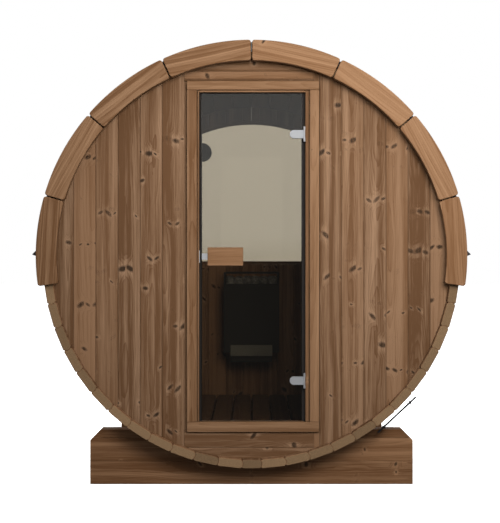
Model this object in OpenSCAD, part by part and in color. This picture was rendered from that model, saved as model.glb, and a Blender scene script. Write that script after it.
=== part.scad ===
// Barrel sauna: a lying cylinder of wooden staves on two cradles, with a timber end wall at the
// front that holds a glass door, a half-moon window at the back and a wall-hung electric heater.
// The frame's origin is on the ground, midway between the ends and below the barrel's axis.
// +Z is up, and the door faces -Y.

/* [Barrel] */
// Radius from the axis to the flat outer faces of the staves
barrel_r = 995; // [850:1:1150]
// Length of the staves
barrel_l = 1800; // [1300:10:2600]
// Thickness of the staves
stave_t = 42; // [28:1:60]
// Number of equal staves on each side of the closing stave
side_staves = 26; // [26]
// Width of the narrow closing stave at the bottom
closing_w = 93; // [70:1:110]
// Width of the V along each stave joint
notch_w = 12; // [2:0.5:16]
// Play between neighbouring staves
stave_play = 0.3; // [0.2:0.1:0.6]
// Depth of the groove in the staves that holds an end wall
croze_d = 10; // [6:1:16]
// Distance from the stave ends to an end wall
wall_inset = 40; // [30:1:120]

/* [End walls] */
// Thickness of the front and back wall
wall_t = 42; // [28:1:50]
// Left edge of the doorway in the wall
bay_left = -323; // [-360:1:-300]
// Right edge of the doorway in the wall
bay_right = 326; // [300:1:360]
// Top of the doorway in the wall, above the barrel's axis
bay_top = 857; // [800:1:880]
// Bottom of the doorway in the wall, above the barrel's axis
bay_bottom = -827; // [-850:1:-790]
// Width of the upright strip beside the boards over and under the door
strip_w = 26; // [15:1:40]

/* [Door frame] */
// Left edge of the casing
casing_left = -310; // [-320:1:-295]
// Left face of the clear opening
door_left = -251; // [-265:1:-235]
// Right face of the clear opening
door_right = 258; // [235:1:270]
// Top of the clear opening, above the barrel's axis
door_top = 802; // [740:1:810]
// Bottom of the clear opening, above the barrel's axis
door_bottom = -777; // [-780:1:-740]
// How far the casing stands proud of the wall
casing_proud = 18; // [10:1:25]
// Thickness of the jamb lining beside the clear opening
lining_t = 16; // [12:1:20]
// Width of the groove between lining and casing
lining_groove = 5; // [3:1:8]
// Thickness of the casing boards
casing_t = 20; // [12:1:24]

/* [Glass door] */
// Thickness of the door glass
glass_t = 8; // [6:1:10]
// Gap between glass and frame on the latch side
latch_gap = 10; // [6:1:14]
// Gap between glass and frame on the hinge side
hinge_gap = 15; // [12:1:18]
// Gap between glass and frame at the top and the bottom
end_gap = 6; // [5.5:0.5:12]
// Height of the upper hinge, above the barrel's axis
hinge_high = 602; // [400:1:700]
// Height of the lower hinge, above the barrel's axis
hinge_low = -580; // [-700:1:-400]
// Height of the wooden handle's middle, above the barrel's axis
handle_mid = 15; // [-200:1:200]
// Width of the wooden handle
handle_w = 170; // [100:1:220]
// Height of the wooden handle
handle_h = 88; // [60:1:120]
// Thickness of the wooden handle
handle_t = 30; // [20:1:40]

/* [Front trims] */
// How far the curved boards reach inside the staves' inner faces
trim_drop = 29; // [14:1:40]
// Width of the curved boards
trim_w = 98; // [85:1:110]
// Thickness of the curved boards
trim_t = 42; // [28:1:50]
// How far the ring of curved boards sits above the barrel's axis
trim_lift = 20; // [0:1:20]
// Angle that each curved board takes up
trim_deg = 24.6; // [22:0.1:25]
// Gap between two curved boards
trim_gap = 6; // [4:0.5:10]
// Radius of the corners of a curved board
trim_corner = 12; // [6:1:18]

/* [Cradles] */
// Width of a cradle
cradle_w = 1590; // [1300:10:1700]
// Height of a cradle
cradle_h = 270; // [220:1:320]
// Thickness of a cradle along the barrel
cradle_t = 90; // [60:1:140]
// Distance from the stave ends to a cradle's outer face
cradle_inset = 180; // [150:5:350]
// Distance from the ground to the underside of the barrel
ground_gap = 111; // [90:1:160]
// Size of the cut at the upper corners of a cradle
cradle_cut = 53; // [30:1:80]

/* [Roof] */
// Thickness of the roofing
roof_t = 10; // [6:1:14]
// Angle from the top down to the lower edge of the roofing
roof_deg = 89.6; // [88:0.1:89.8]
// How far the drip strips reach out past the staves
drip_out = 51; // [35:1:80]
// Height of a drip strip where it meets the roofing
drip_h = 70; // [40:1:100]
// Level of a drip strip's outer edge, above the barrel's axis
drip_level = 26; // [15:1:35]

/* [Steel bands] */
// Distance from the stave ends to a band's middle
band_inset = 110; // [70:1:140]
// Width of a band
band_w = 25; // [15:1:32]
// Thickness of a band
band_t = 1.5; // [1:0.1:3]
// Height of the lugs at the ends of a band
lug_h = 55; // [36:1:64]
// Diameter of the tension rods
rod_d = 9; // [6:1:12]
// Length of the tension rods
rod_l = 254; // [220:1:300]

/* [Rear window] */
// Radius of the half-moon window
window_r = 868; // [700:1:880]
// Level of the window's sill, above the barrel's axis
window_sill = -28; // [-150:1:60]
// Thickness of the window glass
pane_t = 8; // [6:1:12]
// Width of the strips that hold the window glass
bead_w = 18; // [12:1:30]
// Sideways place of the vent, from the barrel's axis
vent_x = -307; // [-400:1:-200]
// Level of the vent, above the barrel's axis
vent_z = 674; // [500:1:680]
// Radius of the vent's cover
vent_r = 57; // [40:1:70]

/* [Floor] */
// Level of the floor slats' upper face, above the barrel's axis
floor_level = -845; // [-860:1:-780]
// Width of one floor slat
slat_w = 95; // [70:1:110]
// Thickness of the floor slats
slat_t = 22; // [18:1:30]
// Gap between two floor slats
slat_gap = 12; // [6:1:16]
// Number of floor slats
slats = 6; // [4:1:7]
// Number of joists under the slats
joists = 4; // [3:1:6]
// Thickness of a joist
joist_t = 45; // [30:1:60]

/* [Heater] */
// Width of the heater
heater_w = 336; // [300:1:420]
// Depth of the heater
heater_d = 260; // [200:1:320]
// Level of the heater's upper edge, above the barrel's axis
heater_top = -145; // [-200:1:-80]
// Level of the casing's lower edge, above the barrel's axis
heater_bottom = -561; // [-620:1:-480]
// Width of the control box and its plate
control_w = 252; // [200:1:300]
// Level of the control box's lower edge, above the barrel's axis
control_bottom = -621; // [-680:1:-600]

/* [Hidden] */

round_fn = 120;          // any value over 12 gives a true curve
small_fn = 32;
fit = 0.3;               // play between pieces that fit together
bite = 1;                // how far the shapes that make up one piece run into each other
wood = [0.50, 0.34, 0.22];
pale_wood = [0.67, 0.47, 0.31];
steel = [0.75, 0.76, 0.78];
black = [0.06, 0.06, 0.06];

axis_h = ground_gap + barrel_r;
inner_r = barrel_r - stave_t;
croze_r = inner_r + croze_d;
wall_r = croze_r - fit;
front_end = -barrel_l / 2;
wall_front = front_end + wall_inset;
wall_back = wall_front + wall_t;
room_back = -wall_back;

// Angles are measured at the axis from straight down, and grow towards +X
closing_deg = 2 * atan(closing_w / 2 / barrel_r);
stave_deg = (360 - closing_deg) / (2 * side_staves);
function stave_mid(k) = k == 0 ? 0 : sign(k) * (closing_deg / 2 + (abs(k) - 0.5) * stave_deg);
function stave_half(k) = (k == 0 ? closing_deg : stave_deg) / 2;
corner_r = norm([barrel_r, barrel_r * tan(stave_deg / 2) - notch_w / 2]);

// A flat shape drawn in X and Z, made solid from y_from to y_to
module slab(y_from, y_to) {
    translate([0, y_to, 0]) rotate([90, 0, 0]) linear_extrude(y_to - y_from) children();
}

// The same on the barrel's axis
module axis_slab(y_from, y_to) {
    translate([0, 0, axis_h]) slab(y_from, y_to) children();
}

// The same piece again at the other end of the barrel
module both_ends() {
    children();
    mirror([0, 1, 0]) children();
}

module span_2d(x_from, x_to, z_from, z_to) {
    translate([x_from, z_from]) square([x_to - x_from, z_to - z_from]);
}

// ---- Barrel -------------------------------------------------------------------------------

// The section of stave k, with a V along both edges of both faces
module stave_2d(k) {
    side = function(r) r * tan(stave_half(k)) - stave_play / 2;
    v = notch_w / 2;
    right = [
        [side(barrel_r) - v, barrel_r], [side(barrel_r - v), barrel_r - v],
        [side(inner_r + v), inner_r + v], [side(inner_r) - v, inner_r]
    ];
    left = [for (i = [len(right) - 1 : -1 : 0]) [-right[i].x, right[i].y]];
    rotate(180 + stave_mid(k)) polygon(concat(right, left));
}

// Staves number first to last, grooved for both end walls
module staves(first, last) {
    color(wood) difference() {
        axis_slab(front_end, -front_end) for (k = [first : last]) stave_2d(k);
        both_ends() axis_slab(wall_front - fit, wall_back + fit) circle(croze_r, $fn = round_fn);
    }
}

module staves_bottom() { staves(-3, 3); }
module staves_lower_left() { staves(-9, -4); }
module staves_lower_right() { staves(4, 9); }
module staves_side_left() { staves(-16, -10); }
module staves_side_right() { staves(10, 16); }
module staves_upper_left() { staves(-22, -17); }
module staves_upper_right() { staves(17, 22); }
module staves_top() {
    staves(-side_staves, -23);
    staves(23, side_staves);
}

// ---- Curved boards on the barrel's ends ---------------------------------------------------

// A point at radius r, turned a degrees from the top towards +X
function at_top(r, a) = [r * sin(a), r * cos(a)];

trim_in = inner_r - trim_drop;

// One corner, as an arc from from_deg, turning turn_deg
function corner_arc(centre, r, from_deg, turn_deg) =
    [for (i = [0 : 4]) centre + at_top(r, from_deg + turn_deg * i / 4)];

// One curved board whose middle lies mid degrees from the top
module trim_2d(mid) {
    steps = 12;
    out_r = trim_in + trim_w;
    c = trim_corner;
    half = trim_deg / 2;
    // The angle at radius r at which a corner's centre is c from the board's end
    corner_deg = function(r) half - asin((trim_gap / 2 + c) / r);
    in_deg = corner_deg(trim_in + c);
    out_deg = corner_deg(out_r - c);
    arc = function(r, a0, a1) [for (i = [0 : steps]) at_top(r, a0 + (a1 - a0) * i / steps)];
    rotate(-mid) polygon(concat(
        arc(out_r, -out_deg, out_deg),
        corner_arc(at_top(out_r - c, out_deg), c, out_deg, half - out_deg + 90),
        corner_arc(at_top(trim_in + c, in_deg), c, half + 90, 90 - half + in_deg),
        arc(trim_in, in_deg, -in_deg),
        corner_arc(at_top(trim_in + c, -in_deg), c, 180 - in_deg, 90 - half + in_deg),
        corner_arc(at_top(out_r - c, -out_deg), c, 270 - half, half - out_deg + 90)
    ));
}

// Curved boards number first to last, counted from the top towards +X
module front_trims(first, last) {
    color(pale_wood) translate([0, 0, axis_h + trim_lift]) slab(front_end - trim_t, front_end)
        for (i = [first : last]) trim_2d((i + 0.5) * trim_deg);
}

module front_trim_left() { front_trims(-4, -1); }
module front_trim_right() { front_trims(0, 3); }
module rear_trim() { mirror([0, 1, 0]) front_trims(-4, 3); }

// ---- Cradles ------------------------------------------------------------------------------

module cradle_2d() {
    w = cradle_w / 2;
    difference() {
        polygon([
            [-w, 0], [w, 0], [w, cradle_h - cradle_cut], [w - cradle_cut, cradle_h],
            [cradle_cut - w, cradle_h], [-w, cradle_h - cradle_cut]
        ]);
        translate([0, axis_h]) circle(corner_r + fit, $fn = round_fn);
    }
}

module cradle_front() {
    color(wood) slab(front_end + cradle_inset, front_end + cradle_inset + cradle_t) cradle_2d();
}

module cradle_rear() { mirror([0, 1, 0]) cradle_front(); }

// ---- Front wall ---------------------------------------------------------------------------

// The part of an end wall that the child outline covers
module wall_part() {
    color(wood) axis_slab(wall_front, wall_back) intersection() {
        circle(wall_r, $fn = round_fn);
        children();
    }
}

tongue_t = 14;
tongue_mid = (wall_front + wall_back) / 2;

// The tongue that closes the gap between the wall and the door frame
module gap_tongue(x_from, x_to) {
    color(wood) axis_slab(tongue_mid - tongue_t / 2, tongue_mid + tongue_t / 2)
        span_2d(x_from, x_to, bay_bottom + fit, bay_top - fit);
}

module front_wall_left() {
    wall_part() span_2d(-wall_r, bay_left, -wall_r, wall_r);
    gap_tongue(bay_left - bite, casing_left - fit);
}

module front_wall_right() { wall_part() span_2d(bay_right, wall_r, -wall_r, wall_r); }

module front_wall_header() {
    wall_part() span_2d(bay_left + fit, bay_right - fit, bay_top, wall_r);
}

module front_wall_sill() {
    wall_part() span_2d(bay_left + fit, bay_right - fit, -wall_r, bay_bottom);
}

// ---- Door frame ---------------------------------------------------------------------------

bay_play = 1;                         // from the edge of the bay to the frame in it
frame_face = wall_front - casing_proud;
casing_back = frame_face + casing_t;
casing_right = bay_right - 2 * bay_play;
casing_top = bay_top - bay_play;
casing_bottom = bay_bottom + bay_play;
lining_left = door_left - lining_t / 2;
lining_right = door_right + lining_t;
lining_top = door_top + lining_t / 2;
lining_bottom = door_bottom - lining_t / 2;
stop_front = frame_face + 32;         // the stops lie behind the glass and its clamps
stop_lap = 2;                         // how far a stop reaches behind the glass's edge

// A jamb is a deep lining with a broad back part that fills the bay behind the casing
module jamb(x_from, x_to, z_from, z_to) {
    color(wood) axis_slab(casing_back + fit, wall_back) span_2d(x_from, x_to, z_from, z_to);
}

module lining(x_from, x_to, z_from, z_to) {
    color(pale_wood) axis_slab(frame_face, wall_back) span_2d(x_from, x_to, z_from, z_to);
}

// A strip behind the glass that covers the gap round it and stops the door
module stop(x_from, x_to, z_from, z_to) {
    color(wood) axis_slab(stop_front, wall_back) span_2d(x_from, x_to, z_from, z_to);
}

module door_jamb_left() {
    jamb(casing_left, door_left - bite, lining_bottom, lining_top);
    lining(lining_left, door_left, door_bottom + fit, lining_top);
    stop(door_left - bite, door_left + latch_gap + stop_lap, door_bottom + fit, door_top - fit);
}

module door_jamb_right() {
    jamb(door_right + bite, casing_right, lining_bottom, lining_top);
    lining(door_right, lining_right, door_bottom + fit, lining_top);
    stop(door_right - hinge_gap - stop_lap, door_right + bite, door_bottom + fit, door_top - fit);
}

module door_head() {
    jamb(casing_left, casing_right, lining_top + fit, casing_top);
    lining(door_left + fit, door_right - fit, door_top, lining_top + bite);
    stop(door_left + latch_gap + stop_lap + fit, door_right - hinge_gap - stop_lap - fit,
         door_top - end_gap - stop_lap, door_top + bite);
}

module door_sill() {
    jamb(casing_left, casing_right, casing_bottom, lining_bottom - fit);
    jamb(door_left + fit, door_right - fit, lining_bottom - bite, door_bottom);
}

// Four casing boards on the face of the frame. A groove parts three of them from the lining, and
// the lowest one reaches up to the opening.
module door_casing() {
    in_left = lining_left - lining_groove / 2;
    in_right = lining_right + lining_groove;
    in_top = lining_top + lining_groove / 2 + bite;
    color(pale_wood) axis_slab(frame_face, casing_back) {
        span_2d(casing_left, in_left, door_bottom + fit, in_top - fit);
        span_2d(in_right, casing_right, door_bottom + fit, in_top - fit);
        span_2d(casing_left, casing_right, in_top, casing_top);
        span_2d(casing_left, casing_right, casing_bottom, door_bottom);
    }
}

// ---- Glass door ---------------------------------------------------------------------------

pin_inset = 5;                        // from the jamb to the middle of the hinge pins
knuckle_r = 4.5;
pin_r = 2;
clamp_l = 62;
clamp_h = 39;
clamp_t = 6;                          // thickness of each plate of a clamp
clamp_gap = 3;                        // from a knuckle to its clamp
plate_h = 72;
plate_l = 32;                         // length of a hinge plate into the doorway
plate_t = 2.2;
leaf_t = 4;                           // thickness of the leaves that carry the knuckles
pin_x = door_right - pin_inset;
pin_y = frame_face + 1;
glass_back_off = 12;                  // from the pins back to the glass
glass_front = pin_y + glass_back_off;
glass_back = glass_front + glass_t;
glass_left = door_left + latch_gap;
glass_right = door_right - hinge_gap;
clamp_right = pin_x - knuckle_r - clamp_gap;
clamp_left = clamp_right - clamp_l;
hinge_levels = [hinge_low, hinge_high];

module door_glass() {
    color([0.45, 0.42, 0.36, 0.5]) axis_slab(glass_front, glass_back)
        span_2d(glass_left, glass_right, door_bottom + end_gap, door_top - end_gap);
}

handle_in = 31;                       // from the glass edge to the handle
handle_left = glass_left + handle_in;

module handle(y_from, y_to) {
    color(pale_wood) axis_slab(y_from, y_to)
        span_2d(handle_left, handle_left + handle_w, handle_mid - handle_h / 2,
                handle_mid + handle_h / 2);
}

module door_handle_outside() { handle(glass_front - handle_t, glass_front); }
module door_handle_inside() { handle(glass_back, glass_back + handle_t); }

// The outline of a clamp plate, with its left end rounded
module clamp_2d() {
    r = clamp_h / 2;
    intersection() {
        span_2d(clamp_left, clamp_right, -r, r);
        union() {
            translate([clamp_left + r, 0]) circle(r, $fn = small_fn);
            span_2d(clamp_left + r, clamp_right, -r, r);
        }
    }
}

// A clamp on each hinge level: two plates on the glass, an edge web and a bored knuckle
module hinge_clamps() {
    color(steel) for (z = hinge_levels) translate([0, 0, z]) difference() {
        union() {
            axis_slab(glass_front - clamp_t, glass_front) clamp_2d();
            axis_slab(glass_back, glass_back + clamp_t) clamp_2d();
            axis_slab(glass_front - clamp_t, glass_back + clamp_t)
                span_2d(glass_right, clamp_right, -clamp_h / 2, clamp_h / 2);
            axis_slab(pin_y, glass_front - clamp_t / 2)
                span_2d(clamp_right - 2 * bite, pin_x, -clamp_h / 2, clamp_h / 2);
            translate([pin_x, pin_y, axis_h - clamp_h / 2])
                cylinder(r = knuckle_r, h = clamp_h, $fn = small_fn);
        }
        translate([pin_x, pin_y, axis_h - clamp_h])
            cylinder(r = pin_r + fit, h = 2 * clamp_h, $fn = small_fn);
    }
}

// A plate on the right jamb at each hinge level, with two knuckles and the pin between them
module hinge_plates() {
    knuckle_h = (plate_h - clamp_h) / 2 - fit;
    color(steel) for (z = hinge_levels) translate([0, 0, axis_h + z]) {
        difference() {
            translate([door_right - plate_t, pin_y - leaf_t / 2, -plate_h / 2])
                cube([plate_t, plate_l, plate_h]);
            translate([door_right - 2 * plate_t, pin_y - leaf_t, -clamp_h / 2 - fit])
                cube([3 * plate_t, leaf_t + knuckle_r + bite, clamp_h + 2 * fit]);
        }
        for (end = [-plate_h / 2, plate_h / 2 - knuckle_h]) translate([0, 0, end]) {
            translate([pin_x, pin_y, 0]) cylinder(r = knuckle_r, h = knuckle_h, $fn = small_fn);
            translate([pin_x, pin_y - leaf_t / 2, 0])
                cube([door_right - plate_t / 2 - pin_x, leaf_t, knuckle_h]);
        }
        translate([pin_x, pin_y, -plate_h / 2]) cylinder(r = pin_r, h = plate_h, $fn = small_fn);
    }
}

latch_w = 28;
latch_h = 29;
latch_t = 5;
strike_t = 3;

module latch_plate() {
    color(steel) axis_slab(glass_front - latch_t, glass_front)
        span_2d(handle_left - fit - latch_w, handle_left - fit, handle_mid - latch_h / 2,
                handle_mid + latch_h / 2);
}

module strike_plate() {
    color(steel) axis_slab(frame_face + strike_t, glass_back + 2 * strike_t)
        span_2d(door_left, door_left + strike_t, handle_mid - latch_h, handle_mid + latch_h);
}

// ---- Back wall and window -----------------------------------------------------------------

pane_front = room_back + (wall_t - pane_t) / 2;
pane_back = pane_front + pane_t;
rebate = 14;                          // how far the glass reaches behind the window's edge
bead_t = 12;

module back_part() { mirror([0, 1, 0]) wall_part() children(); }

// The rebate that lets the window glass into the wall
module pane_rebate() {
    axis_slab(pane_front - fit, pane_back + fit) intersection() {
        circle(window_r + rebate + fit, $fn = round_fn);
        span_2d(-wall_r, wall_r, window_sill - rebate - fit, wall_r);
    }
}

module rear_wall_lower() {
    color(wood) difference() {
        back_part() span_2d(-wall_r, wall_r, -wall_r, window_sill);
        pane_rebate();
    }
}

// Half of the arched frame over the window, on the side that sign gives
module rear_arch(side) {
    color(wood) difference() {
        back_part() difference() {
            mirror([side < 0 ? 1 : 0, 0]) span_2d(fit / 2, wall_r, window_sill + fit, wall_r);
            circle(window_r, $fn = round_fn);
        }
        pane_rebate();
    }
}

module rear_wall_arch_left() { rear_arch(-1); }
module rear_wall_arch_right() { rear_arch(1); }

vent_flange_w = 10;
vent_flange_t = 12;
vent_hole_r = vent_r - vent_flange_w;

module rear_window() {
    color([0.45, 0.42, 0.36, 0.5]) axis_slab(pane_front, pane_back) difference() {
        intersection() {
            circle(window_r + rebate, $fn = round_fn);
            span_2d(-wall_r, wall_r, window_sill - rebate, wall_r);
        }
        translate([vent_x, vent_z]) circle(vent_hole_r, $fn = round_fn);
    }
}

// Thin strips round the window on both faces of the glass
module window_beads() {
    color(wood) for (y = [pane_front - fit - bead_t, pane_back + fit])
        axis_slab(y, y + bead_t) difference() {
            intersection() {
                circle(window_r - fit, $fn = round_fn);
                span_2d(-wall_r, wall_r, window_sill + fit, wall_r);
            }
            intersection() {
                circle(window_r - bead_w, $fn = round_fn);
                span_2d(-wall_r, wall_r, window_sill + bead_w, wall_r);
            }
        }
}

// A round cover on each face of the glass, joined through the hole
module vent_valve() {
    color(black) translate([vent_x, 0, vent_z]) {
        axis_slab(pane_front - fit - vent_flange_t, pane_front - fit)
            circle(vent_r, $fn = round_fn);
        axis_slab(pane_back + fit, pane_back + fit + vent_flange_t)
            circle(vent_r, $fn = round_fn);
        axis_slab(pane_front - vent_flange_t / 2, pane_back + vent_flange_t / 2)
            circle(vent_hole_r - fit, $fn = round_fn);
    }
}

// ---- Floor --------------------------------------------------------------------------------

floor_w = slats * slat_w + (slats - 1) * slat_gap;
floor_end = 8;                        // from the end walls to the ends of the slats

module floor_slats() {
    color(wood) axis_slab(wall_back + floor_end, room_back - floor_end)
        for (i = [0 : slats - 1])
            translate([i * (slat_w + slat_gap) - floor_w / 2, floor_level - slat_t])
                square([slat_w, slat_t]);
}

module floor_joists() {
    first = wall_back + floor_end + joist_t;
    pitch = (room_back - floor_end - 2 * joist_t - first) / (joists - 1);
    color(wood) for (i = [0 : joists - 1])
        axis_slab(first + i * pitch, first + i * pitch + joist_t) intersection() {
            circle(inner_r - fit, $fn = round_fn);
            span_2d(-floor_w / 2, floor_w / 2, -inner_r, floor_level - slat_t);
        }
}

// ---- Heater -------------------------------------------------------------------------------

shell_t = 2;
heater_back = room_back;
heater_front = heater_back - heater_d;
stone_low = heater_top - 60;          // the stones' lowest and highest level
stone_high = heater_top + 45;
control_in = 30;                      // from the heater's front to its control box
control_d = 210;
panel_h = 66;
panel_t = 6;
panel_drop = 20;                      // how far the panel hangs below the casing
rail_r = 5;
rail_up = 65;                         // from the heater's upper edge to the middle of the rail

// An open tray: back and side sheets round a closed body, with the stones lying on top
module heater_body() {
    color(black) {
        axis_slab(heater_front, heater_back) difference() {
            span_2d(-heater_w / 2, heater_w / 2, heater_bottom, heater_top);
            span_2d(shell_t - heater_w / 2, heater_w / 2 - shell_t, stone_low,
                    heater_top + bite);
        }
        axis_slab(heater_back - shell_t, heater_back)
            span_2d(-heater_w / 2, heater_w / 2, stone_low - bite, heater_top);
        axis_slab(heater_front, heater_front + shell_t)
            span_2d(-heater_w / 2, heater_w / 2, stone_low - bite, heater_top);
        axis_slab(heater_front + control_in, heater_front + control_in + control_d)
            span_2d(-control_w / 2, control_w / 2, control_bottom, heater_bottom + bite);
    }
}

module heater_panel() {
    color([0.35, 0.35, 0.35]) axis_slab(heater_front - panel_t, heater_front)
        span_2d(-control_w / 2, control_w / 2, heater_bottom - panel_drop,
                heater_bottom - panel_drop + panel_h);
}

// A wire rail round the top of the heater, on four posts
module heater_guard() {
    rail_z = axis_h + heater_top + rail_up;
    w = heater_w / 2 - rail_r;
    y_in = heater_back - rail_r;
    y_out = heater_front + rail_r;
    color(black) {
        for (x = [-w, w]) {
            translate([x, y_in + rail_r, rail_z]) rotate([90, 0, 0])
                cylinder(r = rail_r, h = y_in - y_out + 2 * rail_r, $fn = 8);
            for (y = [y_in, y_out]) translate([x, y, axis_h + heater_top])
                cylinder(r = rail_r, h = rail_up, $fn = 8);
        }
        for (y = [y_in, y_out]) translate([-w, y, rail_z]) rotate([0, 90, 0])
            cylinder(r = rail_r, h = 2 * w, $fn = 8);
    }
}

module heater_stones() {
    play = 2 * rail_r + fit;
    color([0.16, 0.15, 0.15]) axis_slab(heater_front + play, heater_back - play)
        span_2d(play - heater_w / 2, heater_w / 2 - play, stone_low, stone_high);
}

// ---- Roof ---------------------------------------------------------------------------------

band_in = corner_r + fit;
roof_in = band_in + band_t + fit;
roof_out = roof_in + roof_t;
roof_end = front_end + 2;             // the roofing stops 2 short of the stave ends
drip_reach = barrel_r + drip_out;
drip_lip = 4;                         // thickness of a drip strip's outer edge
kerb_t = 12;                          // thickness of the kerb at each end of the roofing
kerb_in = 4;                          // from the curved boards' outer edge in to the kerb's

// The part of the child outline that one half of the roofing covers
module roof_sector() {
    far = 2 * roof_out;
    difference() {
        children();
        circle(roof_in, $fn = round_fn);
        polygon([
            [fit / 2, far], [-far, far], [-far, -far], [far, -far],
            at_top(far, roof_deg), [fit / 2, 0]
        ]);
    }
}

// One half of the roofing with its drip strip, on the side that sign gives. A kerb at each end
// closes the joints between the curved boards.
module roof_half(side) {
    edge = at_top(roof_in + roof_t / 2, roof_deg);
    color(black) mirror([side < 0 ? 1 : 0, 0, 0]) {
        axis_slab(roof_end, -roof_end) roof_sector() circle(roof_out, $fn = round_fn);
        both_ends() axis_slab(roof_end, roof_end + kerb_t) roof_sector()
            translate([0, trim_lift]) circle(trim_in + trim_w - kerb_in, $fn = round_fn);
        axis_slab(roof_end, -roof_end) polygon([
            [edge.x, edge.y + drip_h], [drip_reach, drip_level + drip_lip / 2],
            [drip_reach, drip_level - drip_lip / 2], edge
        ]);
    }
}

module roof_left() { roof_half(-1); }
module roof_right() { roof_half(1); }

// ---- Steel bands and tension rods ---------------------------------------------------------

band_open_from = 39.1;                // the band's gap, from straight down towards +X
band_open_to = 47.2;
lug_t = 3;
lug_tilt = 8;
lug_over = 0.5;                       // how far a lug stands past the band's end
nut_gap = 1;                          // from a lug to its nut
rod_out = 37;                         // from the band out to the rod's middle
rod_mid_deg = (band_open_from + band_open_to) / 2;

// A place at radius r and angle a from straight down, with +X along the band and +Y outwards
module on_band(r, a) { rotate(180 + a) translate([0, r]) children(); }

module band_2d() {
    far = 2 * barrel_r;
    difference() {
        circle(band_in + band_t, $fn = round_fn);
        circle(band_in, $fn = round_fn);
        polygon([
            [0, 0], far * [sin(band_open_from), -cos(band_open_from)],
            far * [sin(band_open_to), -cos(band_open_to)]
        ]);
    }
    // Each lug leans away from the gap, and starts halfway through the band
    for (side = [-1, 1])
        on_band(band_in + band_t / 2, side < 0 ? band_open_from : band_open_to)
            rotate(side * lug_tilt)
                translate([side < 0 ? -lug_over : lug_over - lug_t, 0]) square([lug_t, lug_h]);
}

// The child, drawn along +Z from its middle, laid along the front band's rod
module at_rod() {
    translate([0, front_end + band_inset, axis_h]) rotate([0, 180 - rod_mid_deg, 0])
        translate([0, 0, band_in + rod_out]) rotate([0, 90, 0]) children();
}

module one_band() {
    difference() {
        axis_slab(front_end + band_inset - band_w / 2, front_end + band_inset + band_w / 2)
            band_2d();
        at_rod() cylinder(d = rod_d + 2 * fit, h = rod_l, center = true, $fn = small_fn);
    }
}

// A rod with a nut outside each lug
module one_rod() {
    half_deg = (band_open_to - band_open_from) / 2;
    nut_r = rod_d;
    nut_h = 0.8 * rod_d;
    nut_from = (band_in + rod_out) * tan(half_deg) + rod_out * sin(lug_tilt) + lug_t
        + nut_r * sin(lug_tilt + half_deg) + nut_gap;
    at_rod() {
        cylinder(d = rod_d, h = rod_l, center = true, $fn = small_fn);
        for (side = [-1, 1]) translate([0, 0, side * (nut_from + nut_h / 2)])
            cylinder(r = nut_r, h = nut_h, center = true, $fn = 6);
    }
}

module steel_bands() { color(steel) both_ends() one_band(); }
module tension_rods() { color(steel) both_ends() one_rod(); }

staves_bottom();
staves_lower_left();
staves_lower_right();
staves_side_left();
staves_side_right();
staves_upper_left();
staves_upper_right();
staves_top();
front_trim_left();
front_trim_right();
rear_trim();
cradle_front();
cradle_rear();
front_wall_left();
front_wall_right();
front_wall_header();
front_wall_sill();
door_jamb_left();
door_jamb_right();
door_head();
door_sill();
door_casing();
door_glass();
door_handle_outside();
door_handle_inside();
hinge_clamps();
latch_plate();
hinge_plates();
strike_plate();
rear_wall_lower();
rear_wall_arch_left();
rear_wall_arch_right();
rear_window();
window_beads();
vent_valve();
floor_slats();
floor_joists();
heater_body();
heater_panel();
heater_guard();
heater_stones();
roof_left();
roof_right();
steel_bands();
tension_rods();
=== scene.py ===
import math
import random

import bmesh
import bpy
import numpy as np
from mathutils import Matrix, Vector, noise


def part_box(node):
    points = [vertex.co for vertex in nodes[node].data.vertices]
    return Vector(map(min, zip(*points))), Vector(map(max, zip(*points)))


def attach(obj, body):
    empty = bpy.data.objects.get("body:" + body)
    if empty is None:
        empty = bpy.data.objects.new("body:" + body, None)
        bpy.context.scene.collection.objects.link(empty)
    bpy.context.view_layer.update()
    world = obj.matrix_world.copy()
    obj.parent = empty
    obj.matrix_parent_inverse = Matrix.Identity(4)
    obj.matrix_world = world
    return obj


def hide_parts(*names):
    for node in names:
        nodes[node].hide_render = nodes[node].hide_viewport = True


# Looks of a barrel sauna: boards, staves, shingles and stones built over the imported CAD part.
# Lengths are metres. "Along" is along a board's grain, "across" over its width.

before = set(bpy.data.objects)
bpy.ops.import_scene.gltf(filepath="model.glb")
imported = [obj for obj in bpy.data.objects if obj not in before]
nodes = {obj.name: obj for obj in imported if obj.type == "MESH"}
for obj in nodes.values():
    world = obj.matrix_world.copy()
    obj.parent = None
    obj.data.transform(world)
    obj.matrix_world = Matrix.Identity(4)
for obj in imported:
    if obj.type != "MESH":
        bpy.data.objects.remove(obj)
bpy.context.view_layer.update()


rng = random.Random(7)
X, Y, Z = (np.array(v, float) for v in ((1, 0, 0), (0, 1, 0), (0, 0, 1)))

# ---- Sizes: the barrel's own, and places read from the CAD nodes -----------------------------

BARREL_R = 0.995
STAVE_T = 0.042
INNER_R = BARREL_R - STAVE_T
CROZE_R = INNER_R + 0.010
SIDE_STAVES = 26
CLOSING_W = 0.093
NOTCH = 0.012
PLAY = 0.0003

wall_lo, wall_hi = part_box("front_wall_left")
AXIS = (wall_lo.z + wall_hi.z) / 2
WALL_R = -wall_lo.x
WALL_FRONT, WALL_BACK = wall_lo.y, wall_hi.y
STAVE_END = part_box("staves_bottom")[1].y
BAY_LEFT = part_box("front_wall_header")[0].x - PLAY
BAY_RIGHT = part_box("front_wall_right")[0].x
BAY_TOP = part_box("front_wall_header")[0].z - AXIS
BAY_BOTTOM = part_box("front_wall_sill")[1].z - AXIS


# ---- Boards -----------------------------------------------------------------------------------

class Place:
    """Where a board lies: its origin, and the directions along and across its grain."""

    def __init__(self, origin, along, across):
        self.origin = np.array(origin, float)
        self.axes = np.array([along, across, np.cross(along, across)], float)

    def world(self, points):
        return self.origin + np.asarray(points, float) @ self.axes


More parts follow.
